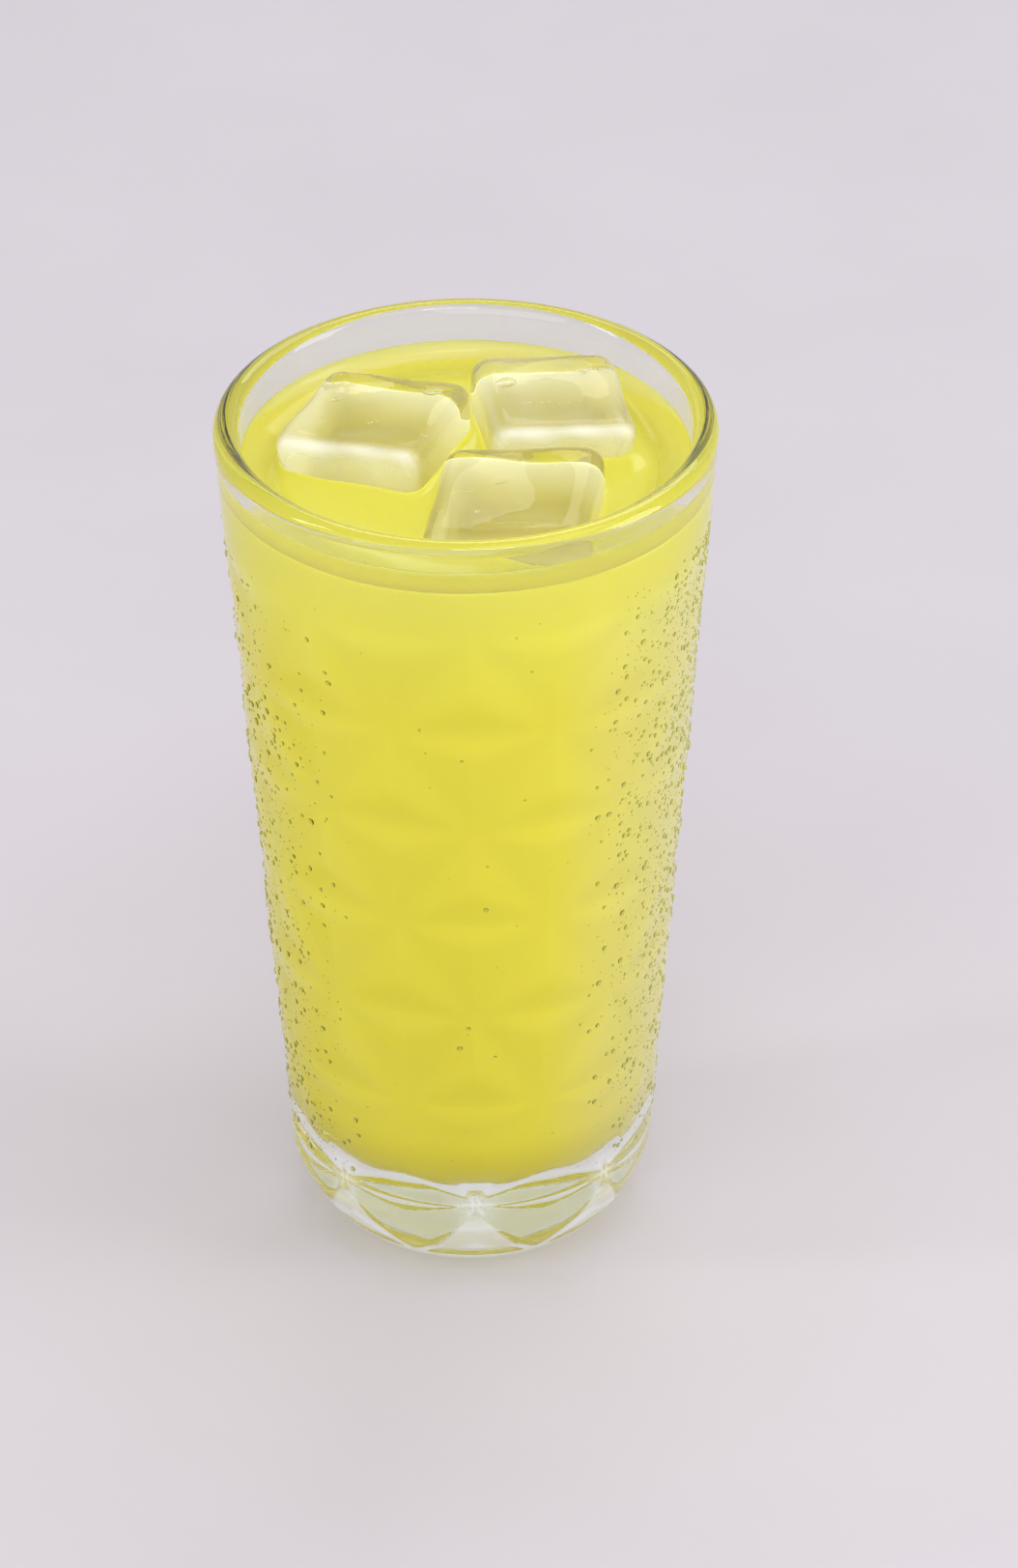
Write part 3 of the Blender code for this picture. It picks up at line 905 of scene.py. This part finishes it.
# Plaster: pale, matt and smooth, with a faint mottle from trowelling
def make_table():
    """A plain pale floor: a wide flat sheet under the glass."""
    material, tree = new_material("pale_trowelled_plaster")
    place = add_node(tree, "ShaderNodeTexCoord").outputs["Object"]
    mottle = add_node(tree, "ShaderNodeTexNoise", Vector=place, Scale=1 / MOTTLE_SIZE, Detail=3.0)
    tone = add_node(tree, "ShaderNodeValToRGB", Fac=mottle.outputs[0])
    colour_stops(tone, (0.0, "#C7C0C6"), (1.0, "#CEC8CE"))
    shader = add_node(tree, "ShaderNodeBsdfPrincipled", Base_Color=tone.outputs[0], Roughness=0.85)
    finish_material(tree, Surface=shader.outputs[0])
    sides = ((-1, -1), (1, -1), (1, 1), (-1, 1))
    corners = [(x * TABLE_REACH, y * TABLE_REACH, TABLE_HEIGHT) for x, y in sides]
    mesh = bpy.data.meshes.new("table")
    mesh.from_pydata(corners, [], [(0, 1, 2, 3)])
    mesh.materials.append(material)
    table = bpy.data.objects.new("table", mesh)
    bpy.context.scene.collection.objects.link(table)


# Soft lights: width and height, azimuth and elevation in degrees, distance in metres, and watts
SOFTBOXES = {
    "top_softbox": ((0.9, 0.7), 60, 68, 1.3, 2.0),
    "front_softbox": ((2.0, 1.5), -20, 28, 1.8, 10.8),
    "back_softbox": ((0.9, 0.5), 165, 48, 1.4, 3.0),
    "right_softbox": ((0.5, 0.9), 78, 22, 1.2, 4.2),
    "front_strip": ((0.45, 0.12), 8, 58, 1.3, 1.6),
    "left_strip": ((0.1, 0.6), -82, 40, 1.2, 1.4),
}
ROOM_COLOUR, ROOM_STRENGTH = "#FBFBFF", 0.72


def outwards(azimuth, elevation):
    """A direction from the glass, by its angles in degrees."""
    a, e = math.radians(azimuth), math.radians(elevation)
    return Vector((math.sin(a) * math.cos(e), -math.cos(a) * math.cos(e), math.sin(e)))


def add_softbox(name, size, azimuth, elevation, distance, power):
    """A rectangular soft light that looks at the glass."""
    light = bpy.data.lights.new(name, "AREA")
    light.shape = "RECTANGLE"
    light.size, light.size_y = size
    light.energy = power
    lamp = bpy.data.objects.new(name, light)
    out = outwards(azimuth, elevation)
    lamp.location = Vector((0, 0, HEIGHT / 2)) + out * distance
    lamp.rotation_euler = out.to_track_quat("Z", "Y").to_euler()
    bpy.context.scene.collection.objects.link(lamp)


def light_stage():
    """A soft white room and the soft lights, in plain colours with no film look."""
    world = bpy.data.worlds.new("soft_room")
    bpy.context.scene.world = world
    world.use_nodes = True
    room = world.node_tree.nodes["Background"]
    room.inputs["Color"].default_value = linear(ROOM_COLOUR)
    room.inputs["Strength"].default_value = ROOM_STRENGTH
    for name, values in SOFTBOXES.items():
        add_softbox(name, *values)
    view = bpy.context.scene.view_settings
    view.view_transform = "Standard"
    view.look = "None"


def make_camera():
    """The camera stands off the mouth's centre and aims at the point that the photo centres."""
    camera = bpy.data.cameras.new("camera")
    camera.sensor_width = SENSOR_SIZE
    camera.lens = SENSOR_SIZE * FOCAL_LENGTH_PIXELS / FRAME_HEIGHT
    camera.clip_start, camera.clip_end = 0.05, 20.0
    eye = bpy.data.objects.new("camera", camera)
    back = outwards(CAMERA_AZIMUTH, CAMERA_ELEVATION)
    eye.location = Vector((0, 0, LIP_HEIGHT)) + back * CAMERA_DISTANCE
    aim = Matrix.Rotation(math.radians(CAMERA_AZIMUTH), 3, "Z") @ Vector(CAMERA_AIM)
    turn = (eye.location - aim).to_track_quat("Z", "Y").to_matrix().to_4x4()
    eye.rotation_euler = (turn @ Matrix.Rotation(math.radians(CAMERA_ROLL), 4, "Z")).to_euler()
    bpy.context.scene.collection.objects.link(eye)
    bpy.context.scene.camera = eye


def dress(piece, node=None):
    """Puts a piece on the glass's one body, and hides the solid that it stands for, if one is given."""
    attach(piece, "root")
    if node:
        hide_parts(node)


def main():
    dress(tumbler_glass(pressed_glass()), "tumbler")
    # Painted shade: darker towards the bottom and at the level itself; paler just under the level, as
    # painted light
    drink = cloudy_lemonade("cloudy_lemonade", (0.0, "#E2D62A"), (0.45, "#E9DE26"),
                            (0.8, "#EBE02E"), (0.93, "#ECE548"), (0.997, "#EBE558"), (1.0, "#D8D250"))
    # Painted light round the ice: the cut faces are paler, and darker with depth as painted shade
    painted_cavity = cloudy_lemonade("lemonade_at_ice_painted_paler", (0.8, "#E4DB84"), (0.92, "#EDE7A0"),
                           (1.0, "#F8F5D5"))
    dress(lemonade_body(drink, painted_cavity), "lemonade")
    dress(lemonade_meniscus(thin_lemonade()))
    ice = clear_ice()
    for name in ICE_CUBES:
        dress(ice_block(name, 0.0, ice), "ice_cube_" + name)
    dress(ice_flaws(trapped_air()))
    dress(dew_drops(dew_water()))
    make_table()
    light_stage()
    make_camera()


main()
